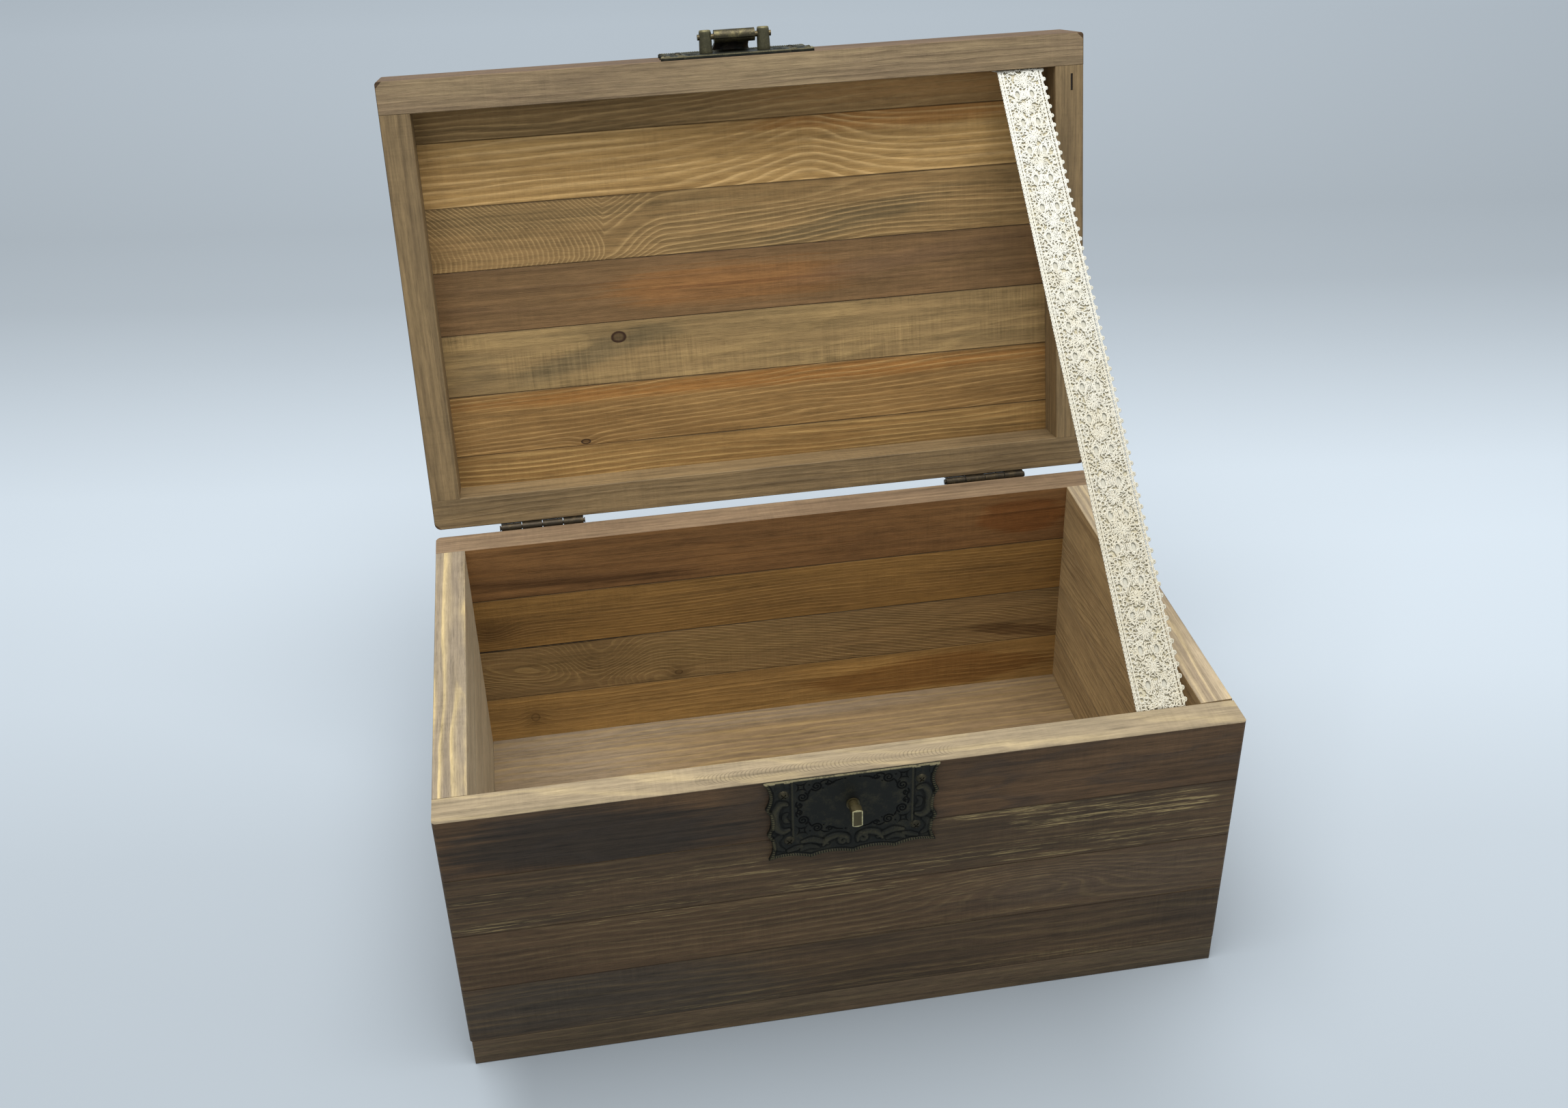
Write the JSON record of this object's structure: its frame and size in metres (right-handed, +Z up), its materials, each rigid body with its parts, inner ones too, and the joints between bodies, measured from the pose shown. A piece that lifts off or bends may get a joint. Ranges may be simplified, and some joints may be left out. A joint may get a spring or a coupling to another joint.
{
  "type": "wedding card box",
  "caption": "Rustic plank card box with a hinged lid held open by a lace ribbon, and an ornate hasp with a turn post.",
  "frame": {"origin": "middle of the underside of the box", "axes": "+X to the right end, +Y to the back with the hinges, +Z up; the lid stands open at rest"},
  "size_m": [0.3, 0.2874, 0.3252],
  "materials": {
    "wall_timber": "dark stained pine, satin",
    "base_timber": "stained pine, satin",
    "rail_timber": "grey-brown stained pine, matt",
    "lid_timber": "honey stained pine, satin",
    "hinge_bronze": "dark antique bronze",
    "latch_bronze": "blackened antique bronze, worn on the edges",
    "screw_bronze": "antique bronze",
    "steel": "bright wire",
    "lace": "cream cotton crochet lace"
  },
  "bodies": {
    "box": {"base_board": "base_timber", "front_plank_1": "wall_timber", "front_plank_2": "wall_timber", "front_plank_3": "wall_timber", "front_plank_4": "wall_timber", "back_plank_1": "wall_timber", "back_plank_2": "wall_timber", "back_plank_3": "wall_timber", "back_plank_4": "wall_timber", "left_plank_1": "wall_timber", "left_plank_2": "wall_timber", "left_plank_3": "wall_timber", "left_plank_4": "wall_timber", "right_plank_1": "wall_timber", "right_plank_2": "wall_timber", "right_plank_3": "wall_timber", "right_plank_4": "wall_timber", "wall_brads": "steel", "base_nails": "steel", "left_hinge_box_leaf": "hinge_bronze", "right_hinge_box_leaf": "hinge_bronze", "left_hinge_pin": "hinge_bronze", "right_hinge_pin": "hinge_bronze", "hinge_box_screws": "screw_bronze", "latch_plate": "latch_bronze", "latch_plate_screws": "screw_bronze", "lace_ribbon": "lace", "ribbon_box_tacks": "screw_bronze"},
    "lid": {"lid_front_rail": "rail_timber", "lid_back_rail": "rail_timber", "lid_left_rail": "rail_timber", "lid_right_rail": "rail_timber", "lid_plank_1": "lid_timber", "lid_plank_2": "lid_timber", "lid_plank_3": "lid_timber", "lid_plank_4": "lid_timber", "lid_plank_5": "lid_timber", "lid_plank_6": "lid_timber", "lid_plank_7": "lid_timber", "lid_brads": "steel", "lid_staple": "steel", "left_hinge_lid_leaf": "hinge_bronze", "right_hinge_lid_leaf": "hinge_bronze", "hinge_lid_screws": "screw_bronze", "keeper_plate": "latch_bronze", "keeper_plate_screws": "screw_bronze", "hasp_pin": "latch_bronze", "ribbon_lid_tacks": "screw_bronze"},
    "hasp": {"hasp": "latch_bronze"},
    "turn_post": {"turn_post": "latch_bronze", "turn_post_washer": "steel"}
  },
  "joints": [
    {"name": "lid_hinge", "type": "hinge", "parent": "box", "child": "lid", "pos_m": [0, 0.0992, 0.123], "axis": [1, 0, 0], "range_deg": [0, 102.5], "deforming": ["lace_ribbon"]},
    {"name": "hasp_hinge", "type": "hinge", "parent": "lid", "child": "hasp", "pos_m": [0, 0.15267, 0.3203], "axis": [1, 0, 0], "range_deg": [0, 205.5]},
    {"name": "turn_post_spin", "type": "hinge", "parent": "box", "child": "turn_post", "pos_m": [0, -0.0984, 0.1093], "axis": [0, -1, 0], "range_deg": [0, 90]}
  ]
}
